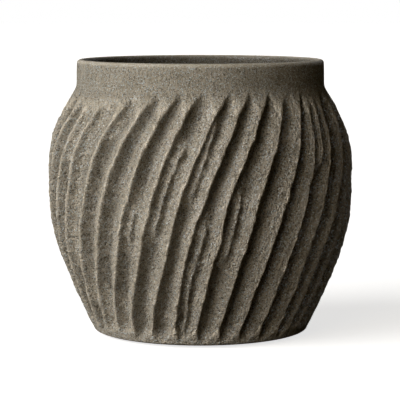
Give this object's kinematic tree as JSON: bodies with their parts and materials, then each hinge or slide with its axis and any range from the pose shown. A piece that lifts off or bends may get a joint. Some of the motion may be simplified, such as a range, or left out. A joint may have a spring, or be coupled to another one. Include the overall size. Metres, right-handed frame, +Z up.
{
  "type": "urn vase",
  "caption": "Round-bellied stoneware urn vase with swirling carved ribs, a smooth upright collar, a rounded lip and a wide open mouth.",
  "frame": {"origin": "on the table, under the middle of the pot", "axes": "+Z up along the axis of the pot and out of its mouth; -Y towards the viewer of the picture; +X to that viewer's right"},
  "size_m": [0.2995, 0.2994, 0.27],
  "materials": {
    "carved_clay": "matte",
    "smooth_clay": "matte",
    "bare_clay": "matte",
    "dark_glaze": "gloss",
    "felt": "matte"
  },
  "bodies": {
    "root": {"belly_wall": "carved_clay", "neck_collar": "smooth_clay", "floor_slab": "bare_clay", "inner_glaze": "dark_glaze", "foot_pad_1": "felt", "foot_pad_2": "felt", "foot_pad_3": "felt", "foot_pad_4": "felt"}
  },
  "joints": []
}
